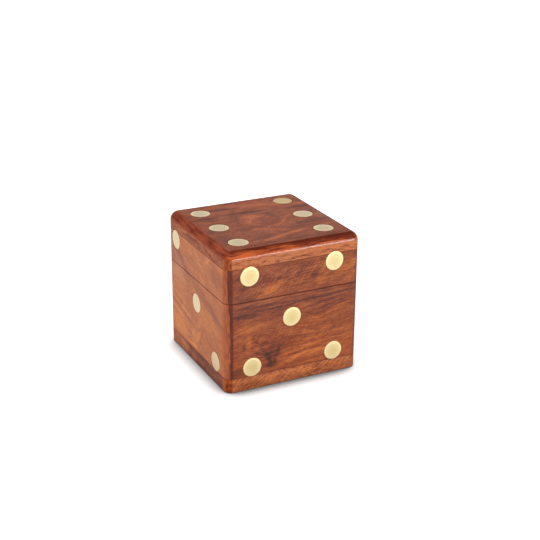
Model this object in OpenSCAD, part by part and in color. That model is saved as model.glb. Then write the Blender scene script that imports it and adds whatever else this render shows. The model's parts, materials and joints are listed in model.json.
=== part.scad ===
// Small hardwood box in the shape of a playing die, with flush brass spots and a hinged lid.
// Millimetres. The origin is the middle of the underside: +X runs to the right along the front,
// +Y to the back and +Z up. The box is glued up from mitred side boards between a bottom and a top
// board, the edges are rounded, and the lid is then sawn off and hung on two small butt hinges.

/* [Box] */
// Width of the box, left to right
box_w = 63.5; // [58:0.5:76]
// Depth of the box, front to back
box_d = 63.5; // [58:0.5:76]
// Height of the closed box
box_h = 63.5; // [60:0.5:76]
// Height of the lid, from the saw cut up
lid_h = 22.4; // [20:0.2:26]
// Width of the saw cut between the base and the lid
saw_gap = 0.3; // [0.2:0.05:0.6]
// Thickness of the four side boards
wall_t = 7; // [6.5:0.25:9]
// Thickness of the top board
top_t = 7.5; // [6.5:0.25:9]
// Thickness of the bottom board
bottom_t = 6.6; // [4:0.2:9]
// Radius of the top edges, the upright edges and the corners
edge_r = 4; // [2:0.25:5]
// Radius of the edges round the underside
foot_r = 0.6; // [0.3:0.1:1.5]

/* [Spots] */
// Diameter of a brass spot
spot_d = 8.7; // [6:0.1:10]
// Thickness of a brass spot
spot_t = 2; // [1:0.25:3]
// Width of the bevel round a spot's face
spot_bevel = 0.2; // [0.1:0.05:0.4]
// Room round a spot in its drilled seat
spot_gap = 0.08; // [0.04:0.02:0.2]
// Distance from the box's edges to the spots' centres
spot_inset = 11.4; // [10:0.1:13]
// Height of the lowest row of spots above the underside
low_row = 10.5; // [9:0.1:12]
// Depth of the middle row of spots below the base's rim
mid_row_drop = 10.6; // [8:0.1:12]
// How far the hand-drilled spots stray from their marks; 0 puts each on its mark
spot_stray = 1; // [0:0.25:1.25]

/* [Hinges] */
// Length of each hinge
hinge_len = 16; // [12:0.5:18]
// Distance from the box's side to the middle of a hinge
hinge_inset = 16.2; // [15.8:0.1:19]
// Distance of the hinge pin inside the back face
pin_in = 1.5; // [1.45:0.05:2]
// Angle of each bevel along the back of the rims; the lid stops when they meet
bevel_angle = 50; // [46:1:60]
// Diameter of the hinge barrel
barrel_d = 2.8; // [2.4:0.1:2.8]
// Diameter of the hinge pin
pin_d = 1.2; // [0.8:0.1:1.3]
// Diameter of the peened heads of the pin
pin_head_d = 2; // [1.6:0.1:2.3]
// Height of the peened heads of the pin
pin_head_h = 0.4; // [0.3:0.1:0.6]
// Width of a hinge leaf, from the pin to its far edge
leaf_w = 5; // [4.4:0.1:5.2]
// Thickness of a hinge leaf
leaf_t = 0.8; // [0.6:0.1:1]
// Radius of a leaf's far corners
leaf_corner_r = 0.8; // [0.3:0.1:1.2]
// Distance between the two screws of a leaf
screw_span = 9; // [7:0.25:10]
// Distance of the screws from the pin
screw_in = 3.2; // [3:0.1:3.4]
// Diameter of a screw's shank
screw_d = 1.3; // [1:0.1:1.5]
// Diameter of a screw's head
screw_head_d = 2.6; // [2:0.1:2.8]
// Height of a screw's countersunk head
screw_head_h = 0.6; // [0.4:0.1:0.7]
// Length of a screw
screw_len = 5; // [4:0.25:6]
// Width of the slot in a screw's head
slot_w = 0.35; // [0.25:0.05:0.5]
// Depth of the slot in a screw's head
slot_depth = 0.25; // [0.15:0.05:0.3]

/* [Clearances] */
// Running room between the pin and the knuckles
pin_gap = 0.05; // [0.02:0.01:0.08]
// Room between neighbouring knuckles, and between a pin's head and its barrel
knuckle_gap = 0.1; // [0.05:0.05:0.2]
// Room round the barrel in the wood and beside the other leaf
barrel_gap = 0.2; // [0.15:0.05:0.3]
// Room round a leaf in its mortise
mortise_gap = 0.1; // [0.05:0.05:0.2]
// Room round a screw in its hole
screw_gap = 0.05; // [0.02:0.01:0.1]

/* [Hidden] */
$fn = 64;
rim_z = box_h - lid_h - saw_gap;
lid_z = box_h - lid_h;
high_row = box_h - lid_h / 2;
mid_row = rim_z - mid_row_drop;
side_rows = [low_row, mid_row, high_row];
pin_y = box_d / 2 - pin_in;
pin_z = rim_z + saw_gap / 2;
barrel_r = barrel_d / 2;
pin_r = pin_d / 2;
knuckle_len = (hinge_len - 2 * knuckle_gap) / 3;
knuckle_pitch = knuckle_len + knuckle_gap;
pin_len = hinge_len + 2 * knuckle_gap;
pocket_len = pin_len + 2 * pin_head_h + 2 * barrel_gap;
past = wall_t / 7; // how far a cutter runs past the face that it opens

// Spots as [column, row, stray across, stray up]. Columns are -1, 0 or 1. Rows are -1, 0 or 1 on
// the top and underside, and 0, 1 or 2 from the underside up on the sides. The strays are shares
// of spot_stray.
TOP_SPOTS = [[-1, 1, -0.5, -0.6], [-1, 0, -0.6, -0.8], [-1, -1, -0.6, -0.2],
             [1, 1, 0.2, 0.3], [1, 0, 0.1, 0.4], [1, -1, -0.6, 0.6]];
FRONT_SPOTS = [[-1, 2, -0.6, -0.2], [1, 2, -1.4, 0.2], [0, 1, -1.1, 0.2],
               [-1, 0, 0.6, 0], [1, 0, -1, -0.1]];
LEFT_SPOTS = [[-1, 2, -2, -0.2], [0, 1, 0, -0.3], [1, 0, -0.4, 0]];
RIGHT_SPOTS = [[-1, 2, 0, 0], [1, 2, 0, 0], [-1, 0, 0, 0], [1, 0, 0, 0]];
BACK_SPOTS = [[-1, 2, 0, 0], [1, 0, 0, 0]];
UNDER_SPOTS = [[0, 0, 0, 0]];

// Sides as [turn about Z, width of the side, distance from the middle, spots]
FRONT = [0, box_w, box_d / 2, FRONT_SPOTS];
RIGHT = [90, box_d, box_w / 2, RIGHT_SPOTS];
BACK = [180, box_w, box_d / 2, BACK_SPOTS];
LEFT = [-90, box_d, box_w / 2, LEFT_SPOTS];
HINGES = [["hinge_left", -1], ["hinge_right", 1]];
HINGE_PIECES = ["_base_leaf", "_base_screws", "_lid_leaf", "_lid_screws", "_pin"];

function spot_name(face, i) = str(face, "_spot_", i + 1);
function spot_names(face, spots) = [for (i = [0:len(spots) - 1]) spot_name(face, i)];
function stray(spot) = spot_stray * [spot[2], spot[3], 0];
function side_place(side, spot) =
    [spot[0] * (side[1] / 2 - spot_inset), side_rows[spot[1]], 0] + stray(spot);
function flat_place(spot) =
    [spot[0] * (box_w / 2 - spot_inset), spot[1] * (box_d / 2 - spot_inset), 0] + stray(spot);
function hinge_x(hinge) = hinge[1] * (box_w / 2 - hinge_inset);

// Puts children on a side of the box: their X runs across it, their Y up and their Z out of it
module on_side(side) rotate([0, 0, side[0]]) translate([0, -side[2], 0]) rotate([90, 0, 0]) children();
module on_top() translate([0, 0, box_h]) children();
module on_underside() mirror([0, 0, 1]) children();

// Profile of a slab whose two upper edges are rounded
module slab_profile(width, t, ease) {
    difference() {
        translate([-width / 2, 0]) square([width, t]);
        for (s = [-1, 1]) translate([s * (width / 2 - ease), t - ease]) difference() {
            translate([s > 0 ? 0 : -ease - past, 0]) square(ease + past);
            circle(ease);
        }
    }
}

// Half of that profile, turned about the middle of a corner
module corner_profile(t, ease) {
    difference() {
        square([edge_r, t]);
        translate([edge_r - ease, t - ease]) difference() {
            square(ease + past);
            circle(ease);
        }
    }
}

// Full-size board with rounded corners and a rounded upper edge
module eased_slab(t, ease) {
    rotate([90, 0, 90]) linear_extrude(box_w - 2 * edge_r, center = true) slab_profile(box_d, t, ease);
    rotate([90, 0, 0]) linear_extrude(box_d - 2 * edge_r, center = true) slab_profile(box_w, t, ease);
    for (sx = [-1, 1], sy = [-1, 1])
        translate([sx * (box_w / 2 - edge_r), sy * (box_d / 2 - edge_r), 0])
            rotate_extrude() corner_profile(t, ease);
}

module box_outline() {
    square([box_w - 2 * edge_r, box_d], center = true);
    square([box_w, box_d - 2 * edge_r], center = true);
    for (sx = [-1, 1], sy = [-1, 1])
        translate([sx * (box_w / 2 - edge_r), sy * (box_d / 2 - edge_r)]) circle(edge_r);
}

// Drilled seat of a spot, cut down from its face
module spot_seat() translate([0, 0, -spot_t]) cylinder(d = spot_d + 2 * spot_gap, h = spot_t + past);

// Brass spot, flush with its face
module spot() {
    color("#d9b979") translate([0, 0, -spot_t]) rotate_extrude() polygon([
        [0, 0], [spot_d / 2, 0], [spot_d / 2, spot_t - spot_bevel],
        [spot_d / 2 - spot_bevel, spot_t], [0, spot_t]
    ]);
}

module side_seats(side) on_side(side) for (s = side[3]) translate(side_place(side, s)) spot_seat();

// Bevels along the back of both rims, which let the lid swing and then stop it
module rear_bevels() {
    reach = pin_in + past;
    rise = saw_gap / 2 + reach * tan(bevel_angle);
    translate([0, pin_y, pin_z]) rotate([90, 0, 90]) linear_extrude(box_w + 2 * past, center = true)
        polygon([[0, -saw_gap / 2], [reach, -rise], [reach, rise], [0, saw_gap / 2]]);
}

// Room for one hinge in both back boards: a groove for the barrel, mortises and screw holes
module hinge_room() {
    mortise_len = hinge_len + 2 * mortise_gap;
    mortise_w = leaf_w + mortise_gap;
    hole_len = saw_gap + 2 * (screw_len + mortise_gap);
    rotate([0, 90, 0]) cylinder(r = barrel_r + barrel_gap, h = pocket_len, center = true);
    translate([-mortise_len / 2, -mortise_w, -saw_gap / 2 - leaf_t])
        cube([mortise_len, mortise_w, saw_gap + 2 * leaf_t]);
    for (s = [-1, 1]) translate([s * screw_span / 2, -screw_in, 0])
        cylinder(d = screw_d + 2 * screw_gap, h = hole_len, center = true);
}

module at_hinge(hinge) translate([hinge_x(hinge), pin_y, pin_z]) children();

// One side board between two heights, mitred at both ends
module side_board(side, low, high) {
    half = side[1] / 2;
    difference() {
        intersection() {
            translate([0, 0, low]) linear_extrude(high - low) box_outline();
            rotate([0, 0, side[0]]) translate([0, -side[2], low]) linear_extrude(high - low)
                polygon([[-half, 0], [half, 0], [half - wall_t, wall_t], [-half + wall_t, wall_t]]);
        }
        side_seats(side);
        rear_bevels();
        if (side == BACK) for (hinge = HINGES) at_hinge(hinge) hinge_room();
    }
}

module base_board(side) side_board(side, bottom_t, rim_z);
module lid_board(side) side_board(side, lid_z, box_h - top_t);

module base_front() color("#7a4630") base_board(FRONT);
module base_back() color("#7a4630") base_board(BACK);
module base_left() color("#a8694f") base_board(LEFT);
module base_right() color("#8d5238") base_board(RIGHT);
module lid_front() color("#7d4a34") lid_board(FRONT);
module lid_back() color("#7d4a34") lid_board(BACK);
module lid_left() color("#a8694f") lid_board(LEFT);
module lid_right() color("#8d5238") lid_board(RIGHT);

module bottom_board() {
    color("#6d4733") difference() {
        translate([0, 0, bottom_t]) mirror([0, 0, 1]) eased_slab(bottom_t, foot_r);
        on_underside() for (s = UNDER_SPOTS) translate(flat_place(s)) spot_seat();
        for (side = [FRONT, RIGHT, BACK, LEFT]) side_seats(side);
    }
}

module top_board() {
    color("#80483a") difference() {
        translate([0, 0, box_h - top_t]) eased_slab(top_t, edge_r);
        on_top() for (s = TOP_SPOTS) translate(flat_place(s)) spot_seat();
        for (side = [FRONT, RIGHT, BACK, LEFT]) side_seats(side);
    }
}

module top_spot(i) on_top() translate(flat_place(TOP_SPOTS[i])) spot();
module under_spot(i) on_underside() translate(flat_place(UNDER_SPOTS[i])) spot();
module side_spot(side, i) on_side(side) translate(side_place(side, side[3][i])) spot();

// Plate of a leaf, lying under the pin with its far corners rounded
module leaf_plate() {
    span = hinge_len - 2 * leaf_corner_r;
    translate([0, 0, -saw_gap / 2 - leaf_t]) linear_extrude(leaf_t) {
        translate([-hinge_len / 2, -leaf_w + leaf_corner_r]) square([hinge_len, leaf_w - leaf_corner_r]);
        translate([-span / 2, -leaf_w]) square([span, leaf_w]);
        for (s = [-1, 1]) translate([s * span / 2, -leaf_w + leaf_corner_r]) circle(leaf_corner_r);
    }
}

module along_pin(r, len) rotate([0, 90, 0]) cylinder(r = r, h = len, center = true);

module countersunk_hole() {
    head_r = screw_head_d / 2 + screw_gap;
    shank_r = screw_d / 2 + screw_gap;
    translate([0, 0, -screw_head_h]) cylinder(r1 = shank_r, r2 = head_r, h = screw_head_h);
    translate([0, 0, -leaf_t - past]) cylinder(r = shank_r, h = leaf_t + past);
    cylinder(r = head_r, h = saw_gap / 2);
}

// Hinge leaf below the pin. Its own knuckles sit at own and the other leaf's at other, both in steps
// of the knuckle pitch from the middle of the hinge.
module hinge_leaf(own, other) {
    color("#c9a45c") difference() {
        union() {
            leaf_plate();
            for (k = own) translate([k * knuckle_pitch, 0, 0]) along_pin(barrel_r, knuckle_len);
        }
        along_pin(pin_r + pin_gap, hinge_len + 2 * past);
        for (k = other) translate([k * knuckle_pitch, 0, 0])
            along_pin(barrel_r + barrel_gap, knuckle_len + 2 * knuckle_gap);
        for (s = [-1, 1]) translate([s * screw_span / 2, -screw_in, -saw_gap / 2]) countersunk_hole();
    }
}

module base_leaf(hinge) at_hinge(hinge) hinge_leaf([-1, 1], [0]);
module lid_leaf(hinge) at_hinge(hinge) mirror([0, 0, 1]) hinge_leaf([0], [-1, 1]);

module hinge_pin(hinge) {
    color("#b08d4a") at_hinge(hinge) rotate([0, 90, 0]) {
        cylinder(d = pin_d, h = pin_len, center = true);
        for (s = [0, 1]) mirror([0, 0, s]) translate([0, 0, pin_len / 2])
            cylinder(d1 = pin_head_d, d2 = pin_d, h = pin_head_h);
    }
}

// Wood screw, its head flush with z = 0 and its point down
module screw() {
    point_h = screw_d;
    difference() {
        union() {
            translate([0, 0, -screw_head_h]) cylinder(d1 = screw_d, d2 = screw_head_d, h = screw_head_h);
            translate([0, 0, point_h - screw_len])
                cylinder(d = screw_d, h = screw_len - point_h - screw_head_h);
            translate([0, 0, -screw_len]) cylinder(d1 = screw_d / 4, d2 = screw_d, h = point_h);
        }
        translate([-screw_head_d, -slot_w / 2, -slot_depth])
            cube([2 * screw_head_d, slot_w, slot_depth + past]);
    }
}

// The two screws of a leaf below the pin
module leaf_screws() {
    color("#c2a05a") for (s = [-1, 1]) translate([s * screw_span / 2, -screw_in, -saw_gap / 2]) screw();
}

module base_screws(hinge) at_hinge(hinge) leaf_screws();
module lid_screws(hinge) at_hinge(hinge) mirror([0, 0, 1]) leaf_screws();

base_front();
base_back();
base_left();
base_right();
bottom_board();
lid_front();
lid_back();
lid_left();
lid_right();
top_board();
for (i = [0:len(TOP_SPOTS) - 1]) top_spot(i);
for (i = [0:len(FRONT_SPOTS) - 1]) side_spot(FRONT, i);
for (i = [0:len(LEFT_SPOTS) - 1]) side_spot(LEFT, i);
for (i = [0:len(RIGHT_SPOTS) - 1]) side_spot(RIGHT, i);
for (i = [0:len(BACK_SPOTS) - 1]) side_spot(BACK, i);
for (i = [0:len(UNDER_SPOTS) - 1]) under_spot(i);
for (hinge = HINGES) base_leaf(hinge);
for (hinge = HINGES) base_screws(hinge);
for (hinge = HINGES) lid_leaf(hinge);
for (hinge = HINGES) lid_screws(hinge);
for (hinge = HINGES) hinge_pin(hinge);
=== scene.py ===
# Rosewood dice box with brass spots and a hinged lid, on a white studio floor
import json
import math
import bpy
from mathutils import Matrix, Vector

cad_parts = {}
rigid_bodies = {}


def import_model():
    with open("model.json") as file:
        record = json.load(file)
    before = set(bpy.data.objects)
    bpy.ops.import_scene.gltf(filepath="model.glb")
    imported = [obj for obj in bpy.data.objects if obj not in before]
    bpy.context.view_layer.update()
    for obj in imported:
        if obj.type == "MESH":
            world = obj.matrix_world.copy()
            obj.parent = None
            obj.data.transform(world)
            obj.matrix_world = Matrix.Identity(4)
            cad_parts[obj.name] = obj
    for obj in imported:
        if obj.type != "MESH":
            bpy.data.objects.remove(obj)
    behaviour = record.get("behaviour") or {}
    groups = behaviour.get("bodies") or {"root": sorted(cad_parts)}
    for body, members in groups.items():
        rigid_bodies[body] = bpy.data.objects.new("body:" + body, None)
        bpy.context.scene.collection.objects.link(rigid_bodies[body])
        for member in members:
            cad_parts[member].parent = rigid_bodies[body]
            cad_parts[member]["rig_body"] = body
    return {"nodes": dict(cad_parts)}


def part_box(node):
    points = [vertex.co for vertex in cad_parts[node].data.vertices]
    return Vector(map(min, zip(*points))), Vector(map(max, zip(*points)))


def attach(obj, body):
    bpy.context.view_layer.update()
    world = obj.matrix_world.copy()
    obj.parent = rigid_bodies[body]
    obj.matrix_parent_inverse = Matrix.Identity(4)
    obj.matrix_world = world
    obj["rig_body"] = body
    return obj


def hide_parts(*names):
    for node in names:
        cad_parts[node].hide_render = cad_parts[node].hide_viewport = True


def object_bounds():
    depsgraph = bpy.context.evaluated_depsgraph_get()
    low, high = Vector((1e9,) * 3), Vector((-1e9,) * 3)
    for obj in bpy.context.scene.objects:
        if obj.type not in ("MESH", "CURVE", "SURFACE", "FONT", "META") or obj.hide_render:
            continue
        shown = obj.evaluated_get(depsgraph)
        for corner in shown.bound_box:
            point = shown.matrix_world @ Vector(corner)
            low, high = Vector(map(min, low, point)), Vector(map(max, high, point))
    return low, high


mm = 0.001
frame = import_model()
bpy.context.view_layer.update()
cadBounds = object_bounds()
scene = bpy.context.scene
nodes = frame["nodes"]
boxLow, boxHigh = cadBounds
print("frame loaded:", len(nodes), "nodes")

# camera, placed as the photograph was taken
cameraView = {
    "azimuth": -26.516,
    "elevation": 21.771,
    "roll": 0.42,
    "place": (-205.26, -419.61, 226.68),  # mm
    "lens": 75.33,
    "sensor": 36.0,
}


def makeCamera(setting):
    azimuth, elevation, roll = (math.radians(setting[k]) for k in ("azimuth", "elevation", "roll"))
    back = Vector((math.sin(azimuth) * math.cos(elevation), -math.cos(azimuth) * math.cos(elevation),
                   math.sin(elevation)))
    level = Vector((0, 0, 1)).cross(back).normalized()
    rise = back.cross(level)
    right = math.cos(roll) * level + math.sin(roll) * rise
    up = math.cos(roll) * rise - math.sin(roll) * level
    data = bpy.data.cameras.new("camera")
    data.lens, data.sensor_width = setting["lens"], setting["sensor"]
    data.clip_start, data.clip_end = 0.01, 20
    camera = bpy.data.objects.new("camera", data)
    scene.collection.objects.link(camera)
    turn = Matrix((right, up, back)).transposed().to_4x4()
    camera.matrix_world = Matrix.Translation(Vector(setting["place"]) * mm) @ turn
    scene.camera = camera


makeCamera(cameraView)
print("camera placed")


# helpers for node trees
def addNode(tree, kind, inputs=None, **settings):
    node = tree.nodes.new(kind)
    for name, value in settings.items():
        setattr(node, name, value)
    fillInputs(tree, node, inputs or {})
    return node


def fillInputs(tree, node, inputs):
    for name, value in inputs.items():
        if isinstance(value, bpy.types.NodeSocket):
            tree.links.new(value, node.inputs[name])
        else:
            node.inputs[name].default_value = value


def maths(tree, operation, *values, clamp=False):
    inputs = dict(enumerate(values))
    return addNode(tree, "ShaderNodeMath", inputs, operation=operation, use_clamp=clamp).outputs[0]


def vectorMaths(tree, operation, *values, out="Vector"):
    inputs = dict(enumerate(values))
    return addNode(tree, "ShaderNodeVectorMath", inputs, operation=operation).outputs[out]


def splitAxes(tree, vector):
    return addNode(tree, "ShaderNodeSeparateXYZ", {0: vector}).outputs


def turnVector(tree, vector, turn):
    return addNode(tree, "ShaderNodeVectorRotate", {"Vector": vector, "Rotation": turn},
                   rotation_type="EULER_XYZ").outputs[0]


def objectPlace(tree):
    return addNode(tree, "ShaderNodeTexCoord").outputs["Object"]


def toMillimetres(tree, place):
    return vectorMaths(tree, "MULTIPLY", place, (1 / mm,) * 3)


def remap(tree, value, low, high, toLow=0.0, toHigh=1.0, smooth=False):
    kind = "SMOOTHSTEP" if smooth else "LINEAR"
    names = {"Value": value, "From Min": low, "From Max": high, "To Min": toLow, "To Max": toHigh}
    return addNode(tree, "ShaderNodeMapRange", names, interpolation_type=kind).outputs[0]


# total + (value - centre) * amount
def addScaled(tree, total, value, amount, centre=0.0):
    centred = maths(tree, "SUBTRACT", value, centre) if centre else value
    return maths(tree, "MULTIPLY_ADD", centred, amount, total)


def noise(tree, vector, stretch, detail=2.0, rough=0.5, size=1.0):
    spread = vectorMaths(tree, "MULTIPLY", vector, stretch)
    return addNode(tree, "ShaderNodeTexNoise", {
        "Vector": spread, "Scale": size, "Detail": detail, "Roughness": rough}).outputs


# a Mix node's numbers are its inputs 2 and 3, and its colours are 6 and 7
def mixColour(tree, share, first, second, blend="MIX"):
    first, second = ((*shade, 1) if isinstance(shade, tuple) else shade for shade in (first, second))
    inputs = {0: share, 6: first, 7: second}
    return addNode(tree, "ShaderNodeMix", inputs, data_type="RGBA", blend_type=blend).outputs[2]


def mixNumber(tree, share, first, second):
    return addNode(tree, "ShaderNodeMix", {0: share, 2: first, 3: second}).outputs[0]


def newMaterial(name):
    material = bpy.data.materials.new(name)
    material.use_nodes = True
    material.node_tree.nodes.clear()
    return material, material.node_tree


def addBump(tree, shader, relief, strength, depth):
    bump = addNode(tree, "ShaderNodeBump", {"Strength": strength, "Distance": depth * mm, "Height": relief})
    tree.links.new(bump.outputs[0], shader.inputs["Normal"])


def addSurface(tree, shader):
    addNode(tree, "ShaderNodeOutputMaterial", {"Surface": shader.outputs[0]})


def newGroup(name, inputs, outputs):
    group = bpy.data.node_groups.new(name, "ShaderNodeTree")
    for socket, value in inputs.items():
        kind = "NodeSocketVector" if isinstance(value, tuple) else "NodeSocketFloat"
        group.interface.new_socket(socket, in_out="INPUT", socket_type=kind).default_value = value
    for socket in outputs:
        group.interface.new_socket(socket, in_out="OUTPUT", socket_type="NodeSocketFloat")
    return group, group.nodes.new("NodeGroupInput").outputs, group.nodes.new("NodeGroupOutput").inputs


def useGroup(tree, group, inputs):
    node = addNode(tree, "ShaderNodeGroup", node_tree=group)
    fillInputs(tree, node, inputs)
    return node.outputs


# effects that the woods share; their vectors are in mm, with X along the grain

# rings round the heart of a tree: soft bands, finer lines and thin dark veins
def makeStreaks():
    group, given, result = newGroup(
        "grainStreaks",
        {"Vector": (0, 0, 0), "Width": 1.5, "Wander": 3.0, "Wander Size": 18.0},
        ["Bands", "Lines", "Veins"])
    wanderScale = maths(group, "DIVIDE", 1.0, given["Wander Size"])
    wander = noise(group, given["Vector"], (0.5, 1.0, 1.0), rough=0.45, size=wanderScale)[1]
    push = vectorMaths(group, "SUBTRACT", wander, (0.5,) * 3)
    push = addNode(group, "ShaderNodeVectorMath", {0: push, "Scale": given["Wander"]},
                   operation="SCALE").outputs[0]
    bent = vectorMaths(group, "ADD", given["Vector"], push)
    radius = vectorMaths(group, "LENGTH", vectorMaths(group, "MULTIPLY", bent, (0.0, 1.0, 1.0)), out="Value")
    count = maths(group, "DIVIDE", radius, given["Width"])
    along = maths(group, "MULTIPLY", splitAxes(group, bent)[0], 0.035)  # rings change slowly along the grain
    place = addNode(group, "ShaderNodeCombineXYZ", {0: count, 1: along}).outputs[0]
    bands = noise(group, place, (1, 1, 1), rough=0.55)[0]
    lines = noise(group, place, (3.7, 2.0, 1), rough=0.6)[0]
    group.links.new(remap(group, bands, 0.25, 0.75), result["Bands"])
    group.links.new(remap(group, lines, 0.25, 0.75), result["Lines"])
    veins = noise(group, place, (2.6, 1.6, 1), detail=1.0)[0]
    fromVein = maths(group, "ABSOLUTE", maths(group, "SUBTRACT", veins, 0.5))
    group.links.new(remap(group, fromVein, 0.05, 0.0, smooth=True), result["Veins"])
    return group


# short fibres, dark pores and cloudy mottling
def makeFibre():
    group, given, result = newGroup("woodFibre", {"Vector": (0, 0, 0)}, ["Fibre", "Pores", "Mottle"])
    fibre = noise(group, given["Vector"], (0.34, 3.4, 3.4), detail=3.0, rough=0.7)[0]
    pores = noise(group, given["Vector"], (0.8, 3.6, 3.6), detail=1.0)[0]
    mottle = noise(group, given["Vector"], (0.22, 0.42, 0.42), detail=4.0, rough=0.62)[0]
    group.links.new(remap(group, fibre, 0.25, 0.75), result["Fibre"])
    group.links.new(remap(group, pores, 0.62, 0.74, smooth=True), result["Pores"])
    group.links.new(remap(group, mottle, 0.25, 0.75), result["Mottle"])
    return group


# one soft oval of figure, turned on its face: full near its middle, gone just past its reach
def makePatch():
    group, given, result = newGroup(
        "figurePatch",
        {"Vector": (0, 0, 0), "Centre": (0, 0, 0), "Turn": (0, 0, 0), "Reach": (1, 1, 1)},
        ["Mask"])
    local = vectorMaths(group, "SUBTRACT", given["Vector"], given["Centre"])
    local = vectorMaths(group, "DIVIDE", turnVector(group, local, given["Turn"]), given["Reach"])
    far = vectorMaths(group, "LENGTH", local, out="Value")
    group.links.new(remap(group, far, 1.15, 0.3, smooth=True), result["Mask"])
    return group


# a darker ring in the wood close round a spot
def makeSpotDarkRing():
    group, given, result = newGroup(
        "spotDarkRing", {"Vector": (0, 0, 0), "Centre": (0, 0, 0), "Radius": 4.4}, ["Mask"])
    local = vectorMaths(group, "SUBTRACT", given["Vector"], given["Centre"])
    far = vectorMaths(group, "LENGTH", local, out="Value")
    outside = maths(group, "SUBTRACT", far, given["Radius"])
    group.links.new(remap(group, outside, 0.75, 0.1, smooth=True), result["Mask"])  # gone at 0.75 mm
    return group


# fine strokes that cross the grain
def makeHatch():
    group, given, result = newGroup("crossHatch", {"Vector": (0, 0, 0), "Turn": (0, 0, 0)}, ["Hatch"])
    turned = turnVector(group, given["Vector"], given["Turn"])
    strokes = noise(group, turned, (0.22, 1.5, 1.0), rough=0.6)[0]
    group.links.new(remap(group, strokes, 0.3, 0.7), result["Hatch"])
    return group


# how far the surface faces up, forward, left or right, and where it turns over an upper edge;
# the object's own normal rides with the lid
def makeRoundover():
    group, given, result = newGroup("roundover", {}, ["Upper", "Rise", "Front", "Left", "Right"])
    normal = addNode(group, "ShaderNodeTexCoord").outputs["Normal"]
    across, along, rise = splitAxes(group, normal)
    sideways = maths(group, "MAXIMUM", maths(group, "ABSOLUTE", across), maths(group, "ABSOLUTE", along))
    upper = maths(group, "MINIMUM", sideways, rise)
    group.links.new(remap(group, upper, 0.12, 0.3, smooth=True), result["Upper"])
    group.links.new(rise, result["Rise"])
    group.links.new(maths(group, "MULTIPLY", along, -1.0), result["Front"])
    group.links.new(maths(group, "MULTIPLY", across, -1.0), result["Left"])
    group.links.new(across, result["Right"])
    return group


streaks, fibre, patch, hatch = makeStreaks(), makeFibre(), makePatch(), makeHatch()
spotDarkRing, roundover = makeSpotDarkRing(), makeRoundover()
print("wood effects built")

# each face as seen from outside: its right, its up and its way out
faceAxes = {
    "front": ((1, 0, 0), (0, 0, 1), (0, -1, 0)),
    "left": ((0, -1, 0), (0, 0, 1), (-1, 0, 0)),
    "right": ((0, 1, 0), (0, 0, 1), (1, 0, 0)),
    "back": ((-1, 0, 0), (0, 0, 1), (0, 1, 0)),
    "top": ((1, 0, 0), (0, 1, 0), (0, 0, 1)),
    "under": ((1, 0, 0), (0, -1, 0), (0, 0, -1)),
}

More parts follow.
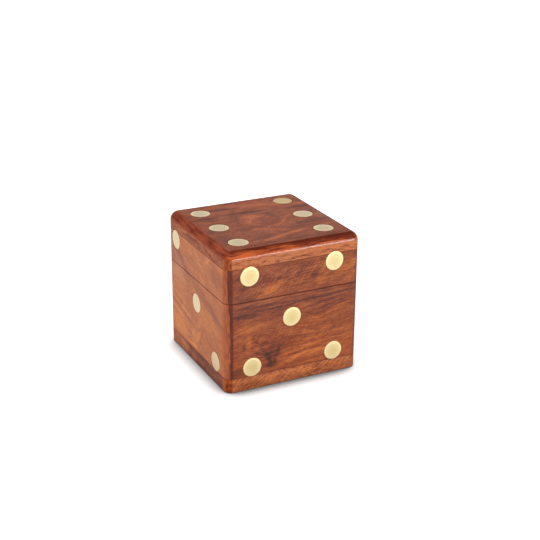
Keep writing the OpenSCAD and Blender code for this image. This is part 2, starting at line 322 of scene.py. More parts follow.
# each wood: which boards it covers, how its grain runs, how strong its marks are, and its colours
# hatches: the patch that they fill, their angle and their strength
# patches: across and up on the face, half length, half width, angle, lighter, warmer
frontWood = {
    "boards": ["base_front", "lid_front"],
    "face": "front",
    "lean": 5,               # degrees that the grain climbs to the right
    "heart": (0, 72, -20),   # middle of the tree: mm across, up and out on the face
    "width": 2.4, "wander": 9.0, "wanderSize": 20.0,   # mm
    "bands": 0.3, "lines": 0.3, "veins": 0.16, "fibre": 0.46, "pores": 0.36, "mottle": 0.22,
    "tone": 0.565,           # 0 is the dark colour, 1 the light one
    "coat": 0.2,
    "dark": (0.085, 0.036, 0.030), "middle": (0.275, 0.072, 0.034), "light": (0.54, 0.19, 0.070),
    "hatches": {
        "front": [
            ((-4, 48, 30, 9, 0), 52, 0.4), ((-12, 48, 22, 8, 0), -35, 0.2), ((20, 52, 16, 8, 0), 24, 0.3),
            ((-6, 22, 24, 12, 0), 48, 0.24), ((14, 16, 22, 14, 0), 18, 0.2),
        ],
    },
    "patches": {
        "front": [
            # broad colour
            (0, 14, 70, 14, 0, 0, 0.5), (0, 45, 70, 17, 0, 0, -0.25), (-21, 35, 14, 14, 0, 0, -0.3),
            (-9, 39, 18, 3, 0, 0.12, 0.1), (-18, 17, 12, 6, 0, 0, -0.6), (20, 33, 12, 3, 4, -0.07, -0.2),
            (-27, 32, 5, 4, 0, -0.1, 0), (-14, 26, 12, 3, 0, -0.1, -0.3), (-7, 21, 9, 3, 0, -0.12, -0.3),
            (19, 21, 15, 3, 0, 0.06, 0), (8, 12, 18, 5.5, 3, 0.1, 0.1), (-27.5, 14, 3.5, 8, 0, -0.12, 0),
            # on the lid: dark strokes and pale flames
            (7, 51, 5, 2.5, 0, 0.1, 0), (-22, 49, 13, 8, 10, -0.08, -0.5), (-6, 52, 8, 5, 0, -0.03, -0.4),
            (5.7, 53, 5, 2.4, 0, -0.16, -0.4), (2, 49.5, 4.6, 1.4, 50, -0.16, -0.2),
            (9, 47.5, 4, 1.3, 60, -0.16, -0.3), (0, 45, 40, 3, 0, 0.06, 0.2),
            (-11.5, 44.8, 7, 2.4, 28, 0.26, 0.8), (13.5, 47, 7, 2.8, 65, 0.1, 0.4),
            (26, 49.5, 9, 2.2, 24, 0.22, 0.8), (28, 45, 7, 2, 24, 0.16, 0.5),
            (-25, 43, 8, 2, 0, -0.1, -0.5),
            # dark bands under the saw cut
            (0, 37.2, 44, 4.4, 1, -0.04, -0.3), (-14, 38, 26, 0.9, -1, -0.26, -0.5),
            (12, 37.4, 26, 0.9, 3, -0.3, -0.6), (2, 39.7, 36, 0.6, 1, -0.16, -0.3),
            (-18, 36.3, 20, 0.7, -2, -0.2, -0.4), (14, 35, 14, 0.8, 9, -0.22, -0.4),
            (18, 33.2, 14, 0.7, 12, -0.16, -0.4), (-24, 34.6, 12, 1.4, -5, -0.3, -0.5),
            (-8, 33.6, 8, 2, -8, -0.1, -0.3),
            # warm places at the left
            (-20, 28, 9, 2.6, 4, 0.12, 0.5), (-25, 29.4, 5, 1.4, 20, 0.12, 0.6),
            (-21.4, 22.5, 6, 2.4, 85, 0.1, 0.5), (-26, 14, 6, 3, 90, 0.05, 0.5),
            # the forked knot near the foot
            (-17.6, 21.8, 1.6, 1.1, 0, -0.34, 0), (-14.8, 20.3, 2.6, 1.1, 20, -0.28, 0),
            (-23.5, 20.5, 1, 1.6, 0, -0.26, 0), (-19.6, 19.4, 1.2, 0.8, 30, -0.26, 0),
            (-15.6, 18.4, 1.4, 0.8, -20, -0.24, 0), (-13, 14.6, 5.6, 1.4, 114, -0.26, -0.1),
            (-8, 14.6, 5.8, 1.3, 72, -0.26, -0.1), (-11, 10.4, 4, 2.2, 0, -0.26, 0),
            (-10.8, 18.4, 4, 1.2, 10, -0.2, 0), (-11.2, 14, 0.8, 4.4, 0, -0.22, 0),
            (-10.6, 13.6, 5.4, 7.4, 0, -0.12, -0.1), (-9.4, 13, 0.7, 3.4, 6, -0.18, 0),
            (-17, 16.4, 3, 0.7, 150, -0.2, 0), (-19.4, 22.6, 1.2, 2.4, 0, -0.2, 0),
            # pale flames and dark lines beside it
            (0, 11, 9, 1.0, 18, 0.24, 0.8), (9.5, 12.4, 9, 1.0, 1, 0.2, 0.8),
            (5, 15, 12, 0.9, 10, 0.16, 0.6), (9, 26.8, 14, 2.6, 10, 0.06, 0.4),
            (21, 31, 12, 1.2, 16, 0.14, 0.5), (8, 18.2, 9, 1.1, 6, 0.12, 0.5),
            (4, 9, 12, 0.9, 4, -0.16, -0.2), (-1.5, 19, 9, 3, 8, -0.1, 0.1),
            (5, 13.6, 12, 0.8, 6, -0.2, -0.2), (20, 22, 12, 1.3, 14, -0.12, -0.3),
            (-24, 9.5, 9, 2.4, 10, -0.26, -0.2), (26, 12, 4, 6, 0, 0.08, 0.4),
        ],
    },
}
leftWood = {
    "boards": ["base_left", "lid_left"],
    "face": "left",
    "lean": -14,
    "heart": (0, 80, -18),
    "width": 3.2, "wander": 6.0, "wanderSize": 24.0,
    "bands": 0.16, "lines": 0.13, "veins": 0.07, "fibre": 0.28, "pores": 0.18, "mottle": 0.18,
    "tone": 0.6,
    "coat": 0.2,
    "dark": (0.22, 0.064, 0.036), "middle": (0.43, 0.142, 0.068), "light": (0.70, 0.30, 0.12),
    "hatches": {
        "left": [
            ((0, 48, 34, 9, 0), -38, 0.2), ((-8, 24, 30, 20, 0), 30, 0.18),
        ],
    },
    "patches": {
        "left": [
            # broad colour
            (29.5, 30, 3, 32, 0, -0.1, 0.4), (-21, 42, 9, 5, 0, 0.12, -0.4), (-20, 39, 15, 9, 0, 0, -0.7),
            (-20, 25, 14, 5, -10, 0.1, 0.3), (-14, 21, 6, 3, 0, 0.1, 0.1), (-3, 13, 4, 6, 0, 0.14, 0.4),
            (16, 9.5, 5, 4, 0, 0.1, 0), (10, 27, 14, 6, -12, 0.08, 0.5),
            # on the lid
            (12.4, 53.8, 4, 1.5, 35, 0.18, 0.5), (3.2, 51, 9, 1.2, -38, 0.12, 0.2),
            (6.5, 43.6, 5, 1.8, -20, 0.12, 0.4), (-24, 44.7, 10, 5, 0, -0.08, -1.0),
            (-16, 45, 12, 2, -35, -0.22, -0.6), (-8, 53, 9, 3.5, 0, 0.06, 0.4),
            (22, 50, 8, 7, 0, -0.14, -0.2), (29.5, 49, 2.2, 9, 0, -0.2, 0.9),
            (26, 55, 5, 2, 0, 0.04, 1.0),
            # a pale place and the mauve band under the saw cut
            (-21, 35.5, 11, 5.5, -10, 0.2, 0.3), (8, 35.5, 25, 3.2, -17, -0.14, -0.5),
            (22, 30, 9, 3, -20, -0.1, -0.4),
            # pale flames and dark lines lower down
            (-20, 24.5, 14, 1.0, -12, -0.14, -0.3), (-14, 20, 18, 1.0, -13, -0.2, -0.2),
            (-22, 19, 14, 1.1, -12, 0.2, 0.7), (-20, 12.5, 14, 6, -8, 0.18, 0.9),
            (-10, 13.4, 12, 0.7, -14, -0.12, 0), (-4, 8.4, 7, 1.2, 2, 0.28, 0.9),
            (3, 21.5, 4, 2, 62, 0.16, 0.5), (1.5, 14, 5, 2, 60, 0.16, 0.7),
            (5, 15, 8, 0.6, 66, -0.16, -0.2), (17, 17, 11, 9, 0, -0.06, 0.1),
            (28.5, 24, 2.4, 17, 0, -0.1, 0.8),
        ],
    },
}
topWood = {
    "boards": ["top_board"],
    "face": "top",
    "lean": 3,
    "heart": (0, 6, -70),
    "width": 3.0, "wander": 8.0, "wanderSize": 18.0,
    "bands": 0.22, "lines": 0.18, "veins": 0.1, "fibre": 0.34, "pores": 0.2, "mottle": 0.26,
    "tone": 0.46,
    "coat": 0.1,
    "dark": (0.10, 0.025, 0.016), "middle": (0.285, 0.073, 0.032), "light": (0.61, 0.20, 0.07),
    "hatches": {
        "top": [
            ((2, -2, 28, 16, 20), 40, 0.26),
        ],
        "front": [
            ((0, 58.4, 60, 4, 0), -3, 0.8), ((-20, 58, 20, 4, 0), 12, 0.4),
        ],
        "left": [
            ((0, 58.4, 60, 4, 0), -8, 0.3),
        ],
    },
    "patches": {
        "top": [
            # broad colour
            (0, 28.5, 34, 3.5, -1, -0.1, 0), (28, 26, 5, 5, 0, 0.12, -0.4),
            (-28.5, 14, 4, 12, 0, -0.14, 0.3), (-18, 8.5, 9, 2, 0, -0.08, 0), (-9, -2, 5, 4, 0, 0.1, 0.2),
            (-18, -15, 8, 3, 0, 0.1, 0), (-3, -15, 4, 3, 0, 0.1, 0), (-26, -21, 5, 6, 0, -0.12, 0),
            (27.5, -5, 4, 9, 0, 0.1, -0.3), (15, -15, 9, 3, 0, -0.1, 0), (10, -21, 7, 2, 0, 0.1, 0.6),
            (28, 0, 5, 40, 0, 0, -0.7), (-28, 0, 5, 36, 0, 0, 0.9), (0, 27, 34, 5, 0, 0, 0.7),
            (4, 15.5, 22, 4, 0, 0, 0.6), (-2, 9, 26, 3, 0, 0, -0.1), (-3, -28, 8, 2.4, 0, 0.12, 0),
            (18, -28, 10, 2.4, 0, -0.1, 0),
            # the arch in the middle
            (-2.6, 3, 10, 8, 10, 0.1, 0.5), (-2, 6.6, 6.4, 3.2, 0, 0.16, 0.7),
            (-5.5, 1, 5, 1.2, 60, 0.14, 0.6), (6.4, 5, 6.5, 1.8, 100, -0.12, -0.4),
            (-9.5, 6, 6, 1.5, 70, -0.14, -0.5),
            # strokes behind it
            (-1.7, 12.6, 12, 1.8, -4, -0.26, -0.8), (0.5, 24, 22, 2.4, -3, 0.1, 0.6),
            (10, 19.4, 22, 3.4, -8, 0.1, 0.6), (27, 14.5, 7, 1.8, -6, 0.2, 0.8),
            (24, 10.5, 9, 1.4, 0, -0.22, -0.6), (-11, 20.4, 11, 1.2, -3, -0.28, -0.5),
            (-22, 16.5, 9, 1.8, 0, 0.02, 0.4), (-23, 11.4, 8, 2.2, 0, -0.28, -0.5),
            (-18, 6.2, 7, 1.4, -4, 0.1, 0.2),
            # strokes in front of it
            (-25, -4, 6, 5, 0, -0.05, -1.0), (3.4, -19.4, 13, 1.6, 15, 0.22, 0.7),
            (25.7, -15.4, 6, 1.2, 4, 0.1, 0.4), (-6, -22.8, 9, 1.0, 8, 0.14, 0.6),
            (12, -20.5, 14, 1.0, 8, -0.12, -0.3), (-1.8, -12, 9, 2.7, -20, 0.14, 0.4),
            (-25.5, -14, 7, 6, 0, -0.1, -0.9), (20, -9, 13, 2.2, 4, -0.2, -0.8),
            (7, -5, 8, 1.2, 42, 0.16, 0.5), (14, 2, 9, 1.2, 35, 0.1, 0.3),
            (0, -26.5, 40, 1.8, 0, -0.14, -0.3), (25, 2, 6, 5, 0, 0.04, -1.2),
        ],
        "front": [
            (0, 58.2, 90, 5.4, 0, 0.46, -0.6), (-10, 57.4, 17, 3.4, 0, 0.2, -0.3),
            (18, 59.4, 22, 1.0, 0, 0.16, 0.3), (10, 57.4, 30, 0.6, 1, -0.2, 0),
            (-22, 59.4, 16, 0.8, 4, -0.1, 0.2), (22.6, 57.8, 8, 0.7, -14, 0.2, 0.5),
            (24, 59.3, 8, 0.5, -14, -0.2, 0.2), (-14.9, 57.6, 1.6, 0.6, 20, -0.5, 0),
            (-12.2, 57, 1.4, 0.5, 0, -0.45, 0), (-8, 56.9, 1.6, 0.5, 0, -0.5, 0),
            (2, 57.4, 12, 0.5, 5, -0.25, 0), (-21, 57, 5, 0.6, 10, -0.3, 0.1),
        ],
        "left": [
            (0, 58, 90, 5.4, 0, 0.2, -0.9), (-16, 57.5, 9, 3, 0, 0.14, 0),
            (-6, 58.6, 20, 0.9, 4, -0.14, -0.2), (8, 59.6, 18, 0.7, -6, 0.16, 0.1),
            (16, 57.6, 12, 0.7, -14, -0.18, 0),
        ],
    },
}
bottomWood = {
    **topWood,
    "boards": ["bottom_board"],
    "heart": (0, -8, 70),
    "dark": (0.10, 0.036, 0.028), "middle": (0.275, 0.084, 0.046), "light": (0.58, 0.22, 0.10),
    "hatches": {
        "front": [
            ((0, 3, 60, 8, 0), 38, 0.6), ((4, 4, 26, 8, 0), -30, 0.5),
        ],
        "left": [
            ((0, 3, 60, 8, 0), -20, 0.2),
        ],
    },
    "patches": {
        "front": [
            (0, 3, 90, 6, 0, 0.2, 0.7), (-27, 3, 6, 6, 0, 0, 0.5), (4, 4.4, 8, 2.4, 0, 0.2, 0.4),
            (-15, 3, 5, 3, 0, 0.14, 0), (-20, 2.4, 9, 2, 10, -0.14, 0.2), (20, 4.4, 7, 1.6, -8, 0.1, 0.4),
            (-10, 5, 5, 1.2, 20, 0.14, 0.4),
        ],
        "left": [
            (8, 3, 22, 8, 0, -0.02, -1.2), (-22, 3.5, 17, 5, 0, 0.32, -0.4),
            (-14, 3, 5, 4, 0, 0.14, -0.2), (-3, 3, 3.4, 4, 0, 0.2, 0), (22, 3, 8, 6, 0, 0.02, -0.9),
            (29.5, 3, 2.6, 5, 0, 0.12, 1.6),
        ],
    },
}
rightWood = {
    **leftWood,
    "boards": ["base_right", "lid_right"],
    "face": "right",
    "lean": 8,
    "heart": (30, 80, -18),
    "hatches": {
        "right": [
            ((0, 30, 60, 40, 0), 30, 0.2),
        ],
    },
    "patches": {
        "right": [
            (-12, 30, 22, 6, 10, 0.14, 0.6), (14, 18, 20, 4, 8, -0.16, -0.8),
            (6, 49, 22, 3, 12, -0.14, -0.6),
        ],
    },
}
backWood = {
    **frontWood,
    "boards": ["base_back", "lid_back"],
    "face": "back",
    "lean": -4,
    "heart": (25, 70, -20),
    "hatches": {
        "back": [
            ((0, 48, 40, 12, 0), 48, 0.2), ((0, 20, 40, 20, 0), 20, 0.2),
        ],
    },
    "patches": {
        "back": [
            (4, 37, 28, 2, -3, -0.2, -0.6), (-12, 22, 20, 5, -6, 0.16, 0.6),
            (12, 10, 16, 3, -10, 0.14, 0.6), (6, 50, 24, 3, -8, -0.12, -0.5),
        ],
    },
}
middleTone = 0.45  # where the middle colour stands between dark and light
tints = {"rose": (0.90, 0.97, 1.18), "amber": (1.18, 1.0, 0.76)}
lacquer = {"IOR": 1.08, "Coat Roughness": 0.1, "Coat IOR": 1.5}
woodFinish = {
    "roughness": (0.4, 0.55),   # between the fibres and on them
    "polishedCoat": 0.6,        # on the rounded upper edges, where hands polish it
    "fibreRelief": 0.3, "poreRelief": -1.0, "bump": 0.3, "reliefDepth": 0.05,  # mm
}
spotDarkRingTone = -0.14  # the change of tone
patchRagged = {"stretch": (0.35, 0.9, 0.5), "reach": (4, 1.6, 0), "depth": 4}  # reach and depth in mm
jointLines = {
    "halfSawCut": 0.15,      # mm
    # painted shade beside the saw cut's gap
    "sawCut": (0.55, -0.3),  # reach in mm, and the change of tone
    "joint": (0.4, -0.25),
    "slack": 0.1,            # mm past a board's end that still counts as its joint
}
# worn edges and painted shade: their colours, and how much of the wood each kind covers; on the rounded edges
# the deep, dark and streak colours are partly painted shade
edgeWearAndShade = {
    "deep": (0.15, 0.018, 0.006), "flame": (0.63, 0.12, 0.025), "dark": (0.06, 0.009, 0.004),
    "umber": (0.165, 0.028, 0.014), "russet": (0.39, 0.078, 0.034),
    "stainAndShade": (0.10, 0.024, 0.015), "rustRedAndShade": (0.17, 0.04, 0.022),
    "side": (0.24, 0.058, 0.030), "sideLight": (0.50, 0.135, 0.055),
    "upperCover": 0.94, "upperPaintedShade": 0.6, "cornerCover": 0.85, "cornerFlames": 0.7,
    "stripeCover": 0.92, "rightShadeCover": 0.8, "sideCover": 0.75,
    "sideHeights": (34, 44),  # mm, between which the dark stripe widens
}


# mm across, up and out on a face: a side counts from the middle of its foot, the top from its own middle
def faceVector(tree, place, face):
    across, up, out = (Vector(a) for a in faceAxes[face])
    turn = Matrix((across, up, out))
    far = max(out.dot(boxLow), out.dot(boxHigh)) / mm
    return addNode(tree, "ShaderNodeMapping", {
        "Vector": place, "Scale": (1 / mm,) * 3, "Rotation": turn.to_euler(),
        "Location": (0, 0, -far)}).outputs[0]


def patchMask(tree, onFace, across, up, long, wide, angle):
    return useGroup(tree, patch, {
        "Vector": onFace, "Centre": (across, up, 0), "Turn": (0, 0, -math.radians(angle)),
        "Reach": (long, wide, patchRagged["depth"])})["Mask"]


def addPatches(tree, place, patches, tone, warmth):
    for face, rows in patches.items():
        onFace = faceVector(tree, place, face)
        ragged = noise(tree, onFace, patchRagged["stretch"], detail=3.0, rough=0.65)[1]
        ragged = vectorMaths(tree, "SUBTRACT", ragged, (0.5,) * 3)
        ragged = vectorMaths(tree, "MULTIPLY", ragged, patchRagged["reach"])
        onFace = vectorMaths(tree, "ADD", onFace, ragged)
        for *shape, lighter, warmer in rows:
            mask = patchMask(tree, onFace, *shape)
            tone = addScaled(tree, tone, mask, lighter)
            warmth = addScaled(tree, warmth, mask, warmer)
    return tone, warmth


def addHatches(tree, place, hatches, tone):
    for face, rows in hatches.items():
        onFace = faceVector(tree, place, face)
        for shape, angle, strength in rows:
            turn = (0, 0, -math.radians(angle))
            strokes = useGroup(tree, hatch, {"Vector": onFace, "Turn": turn})["Hatch"]
            strokes = maths(tree, "SUBTRACT", strokes, 0.5)
            strokes = maths(tree, "MULTIPLY", strokes, patchMask(tree, onFace, *shape))
            tone = addScaled(tree, tone, strokes, strength)
    return tone


def addSpotDarkRings(tree, inMm, board, tone):
    boardLow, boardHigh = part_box(board)
    for name in nodes:
        if "_spot_" not in name:
            continue
        low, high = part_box(name)
        if all(low[k] < boardHigh[k] and high[k] > boardLow[k] for k in range(3)):
            ring = useGroup(tree, spotDarkRing, {
                "Vector": inMm, "Centre": (low + high) / 2 / mm, "Radius": max(high - low) / 2 / mm})
            tone = addScaled(tree, tone, ring["Mask"], spotDarkRingTone)
    return tone


# a dark line at a joint, and along the saw cut a line of painted shade beside the gap, on upright surfaces
# only
def addLine(tree, height, edge, line, reach, amount, tone):
    off = maths(tree, "ABSOLUTE", maths(tree, "SUBTRACT", height, line))
    upright = remap(tree, maths(tree, "ABSOLUTE", edge["Rise"]), 0.8, 0.4)
    near = remap(tree, off, reach, reach * 0.3, smooth=True)
    return addScaled(tree, tone, maths(tree, "MULTIPLY", upright, near), amount)


def addJointLines(tree, board, face, height, edge, tone):
    low, high = (corner.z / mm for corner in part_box(board))
    if face != "top":
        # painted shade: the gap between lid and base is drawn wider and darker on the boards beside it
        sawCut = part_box("base_front")[1].z / mm + jointLines["halfSawCut"]
        tone = addLine(tree, height, edge, sawCut, *jointLines["sawCut"], tone)
    for joint in (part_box("bottom_board")[1].z / mm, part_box("top_board")[0].z / mm):
        if low - jointLines["slack"] < joint < high + jointLines["slack"]:
            tone = addLine(tree, height, edge, joint, *jointLines["joint"], tone)
    return tone


# the rounded upper edges, partly painted shade: flames on the front one, painted darker as it turns up to the
# top, and dark plain streaks on the others
def wearAndShadeUpperEdges(tree, inMm, edge, colour):
    alongX = noise(tree, inMm, (0.11, 0.9, 0.9), detail=3.0, rough=0.6)[0]
    alongY = noise(tree, inMm, (0.9, 0.11, 0.9), rough=0.6)[0]
    # painted shade: the flames fade and the front edge darkens as its normal turns up towards the top
    flames = addScaled(tree, remap(tree, edge["Rise"], 0.5, 0.97, 0.08, -0.16), alongX, 1.0)
    flames = maths(tree, "ADD", flames, remap(tree, splitAxes(tree, inMm)[0], -30, 8, 0.07, -0.03))
    front = mixColour(tree, remap(tree, flames, 0.36, 0.72, smooth=True), edgeWearAndShade["deep"], edgeWearAndShade["flame"])
    darker = remap(tree, edge["Rise"], 0.75, 0.96, 0.0, edgeWearAndShade["upperPaintedShade"])
    front = mixColour(tree, darker, front, edgeWearAndShade["dark"])
    others = mixColour(tree, remap(tree, alongY, 0.32, 0.66), edgeWearAndShade["umber"], edgeWearAndShade["russet"])
    facing = maths(tree, "SUBTRACT", edge["Front"], maths(tree, "ABSOLUTE", edge["Left"]))
    upper = mixColour(tree, remap(tree, facing, -0.1, 0.1, smooth=True), others, front)
    return mixColour(tree, maths(tree, "MULTIPLY", edge["Upper"], edgeWearAndShade["upperCover"]), colour, upper)


# the front left corner of the top and bottom boards: a reddish stripe on the rounded edge, partly painted
# shade where it reflects only darkness
def wearAndShadeBoardCorner(tree, inMm, edge, colour):
    specks = noise(tree, inMm, (0.7, 0.7, 0.5), detail=3.0, rough=0.6)[0]
    specks = remap(tree, specks, 0.38, 0.68, 0.0, edgeWearAndShade["cornerFlames"])
    stripe = maths(tree, "MULTIPLY",
                   remap(tree, edge["Left"], 0.2, 0.4, 0.0, edgeWearAndShade["cornerCover"], smooth=True),
                   remap(tree, edge["Left"], 0.99, 0.85, smooth=True))
    return mixColour(tree, stripe, colour, mixColour(tree, specks, edgeWearAndShade["deep"], edgeWearAndShade["flame"]))


def sideColour(tree, inMm):
    specks = noise(tree, inMm, (1.3, 1.3, 0.35), detail=3.0, rough=0.65)[0]
    return mixColour(tree, remap(tree, specks, 0.35, 0.65), edgeWearAndShade["side"], edgeWearAndShade["sideLight"])


# the front boards' upright edges: a dark wavy stripe at the mitre, partly painted shade on the rounded
# corner, then the side's own colour; the far right edge is painted shade
def wearAndShadeUprightEdge(tree, inMm, edge, colour):
    height = splitAxes(tree, inMm)[2]
    streaked = remap(tree, noise(tree, inMm, (1.0, 1.0, 0.2), detail=3.0, rough=0.6)[0], 0.35, 0.65)
    wavy = addScaled(tree, edge["Left"], noise(tree, inMm, (0.3, 0.3, 0.2))[0], 0.16, centre=0.5)
    stripe = remap(tree, wavy, 0.1, 0.32, 0.0, edgeWearAndShade["stripeCover"], smooth=True)
    colour = mixColour(tree, stripe, colour, mixColour(tree, streaked, edgeWearAndShade["stainAndShade"], edgeWearAndShade["rustRedAndShade"]))
    farSide = maths(tree, "SUBTRACT", wavy, remap(tree, height, *edgeWearAndShade["sideHeights"], 0.5, 0.7))
    colour = mixColour(tree, remap(tree, farSide, -0.04, 0.06, smooth=True), colour, sideColour(tree, inMm))
    # painted shade: the right upright edge is drawn dark as it turns away
    farEdgeShade = remap(tree, edge["Right"], 0.25, 0.7, 0, edgeWearAndShade["rightShadeCover"], smooth=True)
    return mixColour(tree, farEdgeShade, colour, mixColour(tree, streaked, edgeWearAndShade["stainAndShade"], edgeWearAndShade["deep"]))


def wearSideEdge(tree, inMm, edge, colour):
    worn = remap(tree, edge["Front"], 0.1, 0.55, 0.0, edgeWearAndShade["sideCover"], smooth=True)
    return mixColour(tree, worn, colour, sideColour(tree, inMm))


# wear and painted shade on the edges of each face's boards
def wearAndShadeEdges(tree, face, inMm, edge, colour):
    if face == "front":
        return wearAndShadeUprightEdge(tree, inMm, edge, colour)
    if face == "left":
        return wearSideEdge(tree, inMm, edge, colour)
    if face == "top":
        return wearAndShadeUpperEdges(tree, inMm, edge, wearAndShadeBoardCorner(tree, inMm, edge, colour))
    return colour


def grainTone(tree, onFace, wood):
    grain = addNode(tree, "ShaderNodeMapping", {
        "Vector": onFace, "Rotation": (0, 0, -math.radians(wood["lean"])),
        "Location": -Vector(wood["heart"])}).outputs[0]
    streak = useGroup(tree, streaks, {
        "Vector": grain, "Width": wood["width"], "Wander": wood["wander"], "Wander Size": wood["wanderSize"]})
    fine = useGroup(tree, fibre, {"Vector": grain})
    tone = wood["tone"]
    for effect, name in ((streak, "Bands"), (streak, "Lines"), (fine, "Mottle"), (fine, "Fibre")):
        tone = addScaled(tree, tone, effect[name], wood[name.lower()], centre=0.5)
    for effect, name in ((streak, "Veins"), (fine, "Pores")):
        tone = addScaled(tree, tone, effect[name], -wood[name.lower()])
    return tone, fine


def woodColour(tree, wood, tone, warmth):
    ramp = addNode(tree, "ShaderNodeValToRGB", {0: tone})
    stops = ramp.color_ramp.elements
    stops.new(middleTone)
    for stop, (at, shade) in zip(stops, ((0.0, "dark"), (middleTone, "middle"), (1.0, "light"))):
        stop.position, stop.color = at, (*wood[shade], 1)
    warmer = maths(tree, "MULTIPLY_ADD", warmth, 0.5, 0.5, clamp=True)
    tint = mixColour(tree, warmer, tints["rose"], tints["amber"])
    return mixColour(tree, 1.0, ramp.outputs[0], tint, "MULTIPLY")


def woodMaterial(board, wood):
    material, tree = newMaterial(board + "_rosewood")
    place = objectPlace(tree)
    inMm = toMillimetres(tree, place)
    edge = useGroup(tree, roundover, {})
    tone, fine = grainTone(tree, faceVector(tree, place, wood["face"]), wood)
    tone = addHatches(tree, place, wood["hatches"], tone)
    tone, warmth = addPatches(tree, place, wood["patches"], tone, 0.0)
    tone = addSpotDarkRings(tree, inMm, board, tone)
    tone = addJointLines(tree, board, wood["face"], splitAxes(tree, inMm)[2], edge, tone)
    colour = wearAndShadeEdges(tree, wood["face"], inMm, edge, woodColour(tree, wood, tone, warmth))
    shader = addNode(tree, "ShaderNodeBsdfPrincipled", {"Base Color": colour, **lacquer})
    polished = maths(tree, "MULTIPLY", remap(tree, edge["Rise"], 0.0, 0.1, smooth=True),
                     remap(tree, edge["Rise"], 0.95, 0.7, smooth=True))
    polished = maths(tree, "MULTIPLY", polished, remap(tree, edge["Left"], 0.6, 0.2, smooth=True))
    coat = remap(tree, polished, 0, 1, wood["coat"], woodFinish["polishedCoat"])
    tree.links.new(coat, shader.inputs["Coat Weight"])
    tree.links.new(remap(tree, fine["Fibre"], 0, 1, *woodFinish["roughness"]), shader.inputs["Roughness"])
    relief = maths(tree, "MULTIPLY", fine["Fibre"], woodFinish["fibreRelief"])
    relief = addScaled(tree, relief, fine["Pores"], woodFinish["poreRelief"])
    addBump(tree, shader, relief, woodFinish["bump"], woodFinish["reliefDepth"])
    addSurface(tree, shader)
    return material


for wood in (frontWood, leftWood, topWood, bottomWood, rightWood, backWood):
    for board in wood["boards"]:
        nodes[board].material_slots[0].material = woodMaterial(board, wood)
print("woods set")

# brass spots: a thin flat rim and a faintly crowned field
spotShape = {
    "sides": 96,
    "rimWidth": 0.5, "rimDrop": 0.06, "crown": 0.03,  # mm
    "rimSteps": ((0.35, 0.6), (0.65, 0.4)),           # shares of the rim's width and of its drop
    "crownSteps": (0.5, 0.32, 0.18),                  # shares of the crown's rise
    "crownInset": 0.26,                               # share of the radius
    "smoothAngle": 30,
}
# painted light and shade: each face's copy of the same brass has its own lightness, lightest on the left and
# darkest on the front
spotBrassShadedPerFace = {
    "front": {"middle": (0.69, 0.54, 0.255), "field": (0.735, 0.61, 0.32), "rim": (0.86, 0.68, 0.375),
              "outer": (0.55, 0.37, 0.18), "lines": 0.1},
    "left": {"middle": (1.0, 0.83, 0.53), "field": (1.0, 0.84, 0.54), "rim": (1.0, 0.83, 0.56),
             "outer": (0.95, 0.72, 0.44), "lines": 0.2},
    "top": {"middle": (0.755, 0.605, 0.385), "field": (0.775, 0.635, 0.41), "rim": (0.93, 0.76, 0.47),
            "outer": (0.95, 0.75, 0.45), "lines": 0.3,
            "golden": (0.74, 0.515, 0.22), "goldenFrom": (8, 14), "goldenCover": 0.85},
}
spotFinish = {"roughness": (0.36, 0.5), "cloud": 0.35, "bump": 0.25}
brassReliefDepth = 0.02  # mm


# brass: fine lines in its roughness and its surface
def addBrass(tree, colour, lines, roughness, bump):
    shader = addNode(tree, "ShaderNodeBsdfPrincipled", {"Base Color": colour, "Metallic": 1.0})
    tree.links.new(remap(tree, lines, 0.3, 0.7, *roughness), shader.inputs["Roughness"])
    addBump(tree, shader, lines, bump, brassReliefDepth)
    addSurface(tree, shader)


def makeSpotBlank(shape, radius, thick):
    bpy.ops.object.select_all(action="DESELECT")
    bpy.ops.mesh.primitive_cylinder_add(vertices=shape["sides"], radius=radius, depth=thick,
                                        location=(0, 0, -thick / 2))
    blank = bpy.context.object
    blank.name = "spotBlank"
    bpy.ops.object.transform_apply(location=True)
    bpy.ops.object.mode_set(mode="EDIT")
    bpy.ops.mesh.select_mode(type="FACE")
    bpy.ops.mesh.select_all(action="DESELECT")
    bpy.ops.object.mode_set(mode="OBJECT")
    for face in blank.data.polygons:
        face.select = face.normal.z > 0.9
    bpy.ops.object.mode_set(mode="EDIT")
    bpy.ops.transform.translate(value=(0, 0, -(shape["rimDrop"] + shape["crown"]) * mm))
    for width, share in shape["rimSteps"]:
        bpy.ops.mesh.inset(thickness=shape["rimWidth"] * width * mm)
        bpy.ops.transform.translate(value=(0, 0, shape["rimDrop"] * share * mm))
    for share in shape["crownSteps"]:
        bpy.ops.mesh.inset(thickness=radius * shape["crownInset"])
        bpy.ops.transform.translate(value=(0, 0, shape["crown"] * share * mm))
    bpy.ops.object.mode_set(mode="OBJECT")
    bpy.ops.object.shade_smooth_by_angle(angle=math.radians(shape["smoothAngle"]))
    spread = blank.data.attributes.new("fromMiddle", "FLOAT", "POINT")
    for vertex, value in zip(blank.data.vertices, spread.data):
        value.value = vertex.co.xy.length / radius
    return blank


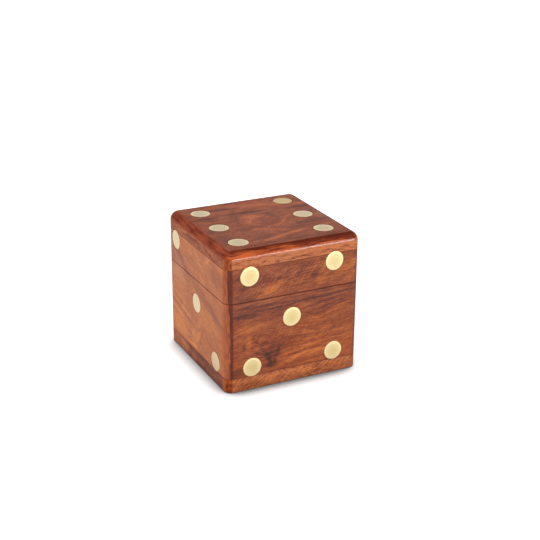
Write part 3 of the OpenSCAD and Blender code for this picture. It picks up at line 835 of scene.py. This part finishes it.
def spotMaterial(face, brass):
    material, tree = newMaterial(face + "_spot_brass")
    onFace = faceVector(tree, objectPlace(tree), face)
    far = addNode(tree, "ShaderNodeAttribute", attribute_name="fromMiddle").outputs["Fac"]
    sanding = noise(tree, onFace, (0.4, 7.0, 1.0))[0]
    cloudy = noise(tree, onFace, (0.5, 0.5, 0.5))[0]
    shade = addScaled(tree, far, cloudy, spotFinish["cloud"], centre=0.5)
    shade = addScaled(tree, shade, sanding, brass["lines"], centre=0.5)
    colour = mixColour(tree, remap(tree, shade, 0.1, 0.8, smooth=True), brass["middle"], brass["field"])
    colour = mixColour(tree, remap(tree, far, 0.68, 0.84, smooth=True), colour, brass["rim"])
    colour = mixColour(tree, remap(tree, far, 0.91, 0.98, smooth=True), colour, brass["outer"])
    if "golden" in brass:  # the spot at the back right has a warmer lacquer
        across, up = splitAxes(tree, onFace)[:2]
        corner = maths(tree, "MULTIPLY", remap(tree, across, *brass["goldenFrom"]),
                       remap(tree, up, *brass["goldenFrom"]))
        warmer = maths(tree, "MULTIPLY", corner, brass["goldenCover"])
        colour = mixColour(tree, warmer, colour, brass["golden"])
    addBrass(tree, colour, sanding, spotFinish["roughness"], spotFinish["bump"])
    return material


def makeSpots(shape, brasses):
    names = [n for n in nodes if "_spot_" in n]
    low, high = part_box(names[0])
    size = high - low
    blank = makeSpotBlank(shape, max(size) / 2, min(size))
    materials = {face: spotMaterial(face, brasses.get(face, brasses["front"])) for face in faceAxes}
    for name in names:
        low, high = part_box(name)
        face = name.split("_")[0]
        across, up, out = (Vector(a) for a in faceAxes[face])
        place = (low + high) / 2 + out * min(size) / 2
        piece = bpy.data.objects.new(name.replace("_spot_", "_brass_spot_"), blank.data.copy())
        scene.collection.objects.link(piece)
        piece.data.transform(Matrix.Translation(place) @ Matrix((across, up, out)).transposed().to_4x4())
        piece.data.materials.append(materials[face])
        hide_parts(name)
        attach(piece, nodes[name]["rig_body"])
    bpy.data.objects.remove(blank)


makeSpots(spotShape, spotBrassShadedPerFace)
print("spots made")

hingeBrass = {
    "hinge": {"bright": (0.86, 0.69, 0.36), "dull": (0.70, 0.50, 0.22),
              "roughness": (0.3, 0.48), "bump": 0.3},
    "screw": {"bright": (0.78, 0.60, 0.30), "dull": (0.46, 0.31, 0.13),
              "roughness": (0.34, 0.52), "bump": 0.3},
}


def hingeMaterial(kind, brass):
    material, tree = newMaterial(kind + "_metal")
    inMm = toMillimetres(tree, objectPlace(tree))
    rolled = noise(tree, inMm, (0.5, 6.0, 6.0))[0]
    tarnish = noise(tree, inMm, (0.7, 0.7, 0.7), detail=3.0, rough=0.6)[0]
    shade = addScaled(tree, tarnish, rolled, 0.3, centre=0.5)
    colour = mixColour(tree, remap(tree, shade, 0.42, 0.66, smooth=True), brass["bright"], brass["dull"])
    addBrass(tree, colour, rolled, brass["roughness"], brass["bump"])
    return material


metals = {kind: hingeMaterial(kind, brass) for kind, brass in hingeBrass.items()}
for name, node in nodes.items():
    if name.startswith("hinge_"):
        node.material_slots[0].material = metals["screw" if "screws" in name else "hinge"]
print("hinge brass set")

# white studio: floor, surroundings and lamps
studio = {
    "floorSize": 6.0, "floorWhite": 0.9, "floorGlow": 0.6, "floorShine": 0.05,
    # the shadow at the foot is painted into the floor from ambient occlusion; its lean makes it reach further
    # to the front and left
    "contactReach": 0.010, "contactLean": (0.22, 0.42, 0.85),  # the shadow at the foot, and its lean
    "contactRange": (0.38, 0.9, 0.03, 1.0), "contactSoft": 0.55,
    "ambient": 0.95, "room": 0.3,
    "lampAim": (0, 0, 0.03),
    "lamps": [  # name, place in m, width, height, power in W, and whether it only shows as a reflection
        ("keyLamp", (-0.8, -0.6, 0.8), 0.5, 0.5, 3.2, False),
        ("frontLamp", (0.7, -1.0, 0.35), 0.4, 0.4, 2.6, False),
        ("stripLamp", (0.55, -1.1, 0.2), 1.5, 0.26, 12.0, True),
        ("backPanel", (0.62, 1.25, 0.62), 1.1, 0.6, 2.2, True),
    ],
}


def makeFloor(setting):
    bpy.ops.object.select_all(action="DESELECT")
    bpy.ops.mesh.primitive_plane_add(size=setting["floorSize"])
    floor = bpy.context.object
    floor.name = "floor"
    material, tree = newMaterial("floorWhite")
    # painted shadow: the floor's colour and its glow darken where ambient occlusion finds the box close by
    lean = vectorMaths(tree, "NORMALIZE", setting["contactLean"])
    near = addNode(tree, "ShaderNodeAmbientOcclusion", {
        "Distance": setting["contactReach"], "Normal": lean}, samples=16).outputs["AO"]
    footShadowPaint = maths(tree, "POWER", remap(tree, near, *setting["contactRange"]), setting["contactSoft"])
    white = mixColour(tree, footShadowPaint, (0, 0, 0), (setting["floorWhite"],) * 3)
    paint = addNode(tree, "ShaderNodeBsdfDiffuse", {"Color": white})
    ray = addNode(tree, "ShaderNodeLightPath").outputs
    glow = maths(tree, "MULTIPLY", ray["Is Glossy Ray"], setting["floorShine"])
    glow = maths(tree, "MULTIPLY", addScaled(tree, glow, ray["Is Camera Ray"], setting["floorGlow"]), footShadowPaint)
    glow = addNode(tree, "ShaderNodeEmission", {"Strength": glow})
    addSurface(tree, addNode(tree, "ShaderNodeAddShader", {0: paint.outputs[0], 1: glow.outputs[0]}))
    floor.data.materials.append(material)


def makeWorld(setting):
    world = bpy.data.worlds.new("studio")
    scene.world = world
    world.use_nodes = True
    tree = world.node_tree
    tree.nodes.clear()
    ray = addNode(tree, "ShaderNodeLightPath").outputs
    white = maths(tree, "MAXIMUM", ray["Is Camera Ray"], ray["Is Transmission Ray"])
    strength = mixNumber(tree, ray["Is Glossy Ray"], setting["ambient"], setting["room"])
    back = addNode(tree, "ShaderNodeBackground", {"Strength": mixNumber(tree, white, strength, 1.0)})
    addNode(tree, "ShaderNodeOutputWorld", {"Surface": back.outputs[0]})


def makeLamps(setting):
    for name, place, width, height, power, reflectionOnly in setting["lamps"]:
        data = bpy.data.lights.new(name, "AREA")
        data.shape, data.size, data.size_y, data.energy = "RECTANGLE", width, height, power
        lamp = bpy.data.objects.new(name, data)
        scene.collection.objects.link(lamp)
        lamp.location = place
        aim = Vector(setting["lampAim"]) - Vector(place)
        lamp.rotation_euler = aim.to_track_quat("-Z", "Y").to_euler()
        lamp.visible_diffuse = not reflectionOnly


makeFloor(studio)
makeWorld(studio)
makeLamps(studio)
scene.view_settings.view_transform = "Standard"
print("studio ready")
